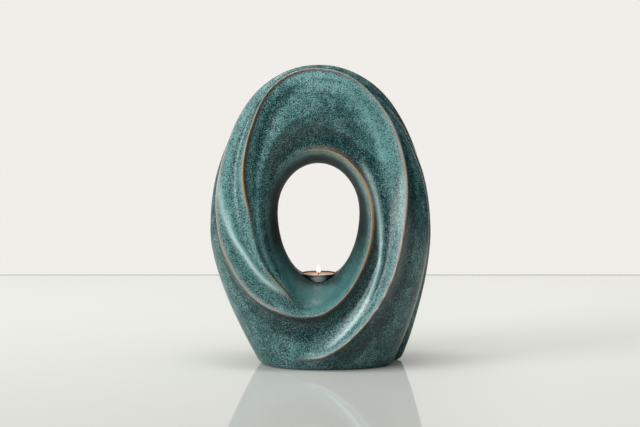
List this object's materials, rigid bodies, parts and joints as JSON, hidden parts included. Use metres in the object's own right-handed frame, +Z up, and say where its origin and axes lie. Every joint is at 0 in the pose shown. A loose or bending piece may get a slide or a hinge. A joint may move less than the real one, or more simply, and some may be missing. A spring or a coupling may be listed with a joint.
{
  "type": "funeral urn",
  "caption": "Tall ring-shaped ceramic funeral urn with winding ridges, a candle seat in the floor of its hole and a stoppered fill hole underneath.",
  "frame": {"origin": "middle of the box round the urn, at the height of the table that it stands on", "axes": "+Z up, -Y towards the front, from where the hole is seen through, +X to the viewer's right"},
  "size_m": [0.2417, 0.1354, 0.3273],
  "materials": {
    "teal_glaze": "satin reactive glaze with fine dark speckle and brown crests",
    "stopper_rubber": "matte",
    "candle_metal": "dark satin",
    "candle_wax": "soft, slightly translucent",
    "wick_cotton": "charred"
  },
  "bodies": {
    "root": {"urn_body": "teal_glaze", "base_stopper": "stopper_rubber", "tealight_cup": "candle_metal", "tealight_wax": "candle_wax", "tealight_wick": "wick_cotton"}
  },
  "joints": []
}
